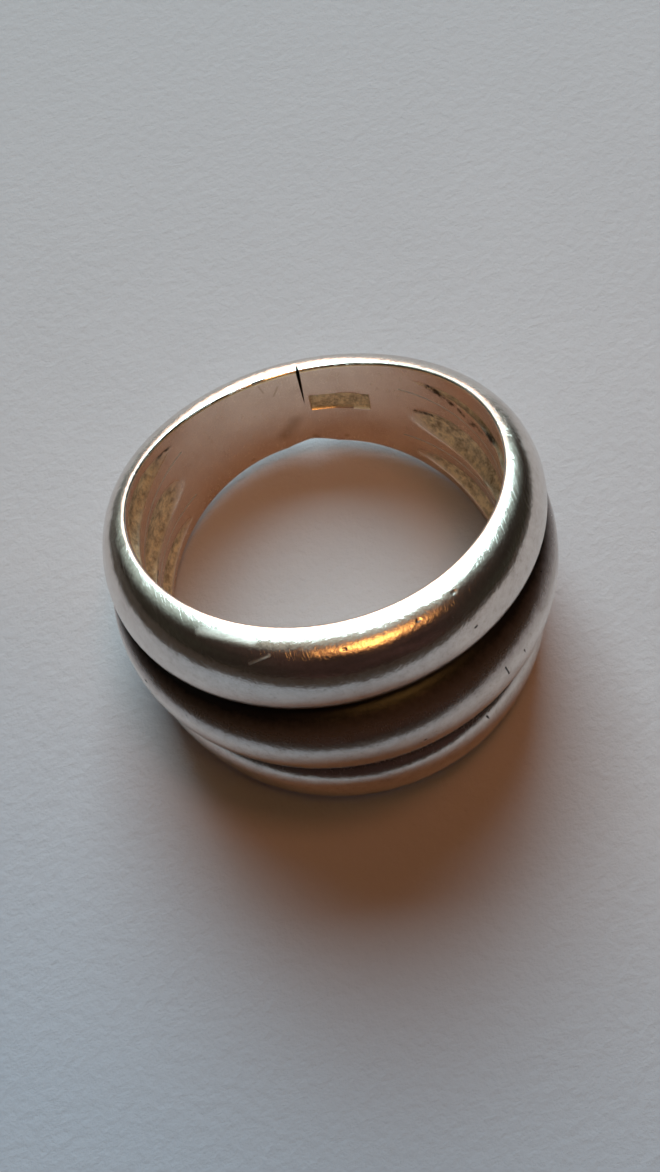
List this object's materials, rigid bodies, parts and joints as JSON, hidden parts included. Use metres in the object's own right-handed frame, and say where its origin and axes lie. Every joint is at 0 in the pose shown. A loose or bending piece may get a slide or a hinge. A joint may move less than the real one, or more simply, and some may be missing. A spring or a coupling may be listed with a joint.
{
  "type": "ribbed finger ring",
  "caption": "Silver finger ring with domed, hollow-backed ribs soldered side by side at the front and a plain tapered shank that closes in a cracked seam at the back.",
  "frame": {"origin": "centre of the finger bore, halfway between the two rims", "axes": "+Z along the finger bore, with the ribs' crests facing -Y, the shank at +Y, and the seam at the back just to the +X side"},
  "size_m": [0.0224, 0.0224, 0.014],
  "materials": {
    "silver": "polished and worn, fine scratches, dull rough skin in the hollows",
    "silver_solder": "polished flush with the silver, slightly duller"
  },
  "bodies": {
    "root": {"top_rib": "silver", "middle_rib": "silver", "bottom_rib": "silver", "upper_rib_solder": "silver_solder", "lower_rib_solder": "silver_solder", "left_arm": "silver", "right_arm": "silver", "left_shoulder_solder": "silver_solder", "right_shoulder_solder": "silver_solder", "seam_solder": "silver_solder"}
  },
  "joints": []
}
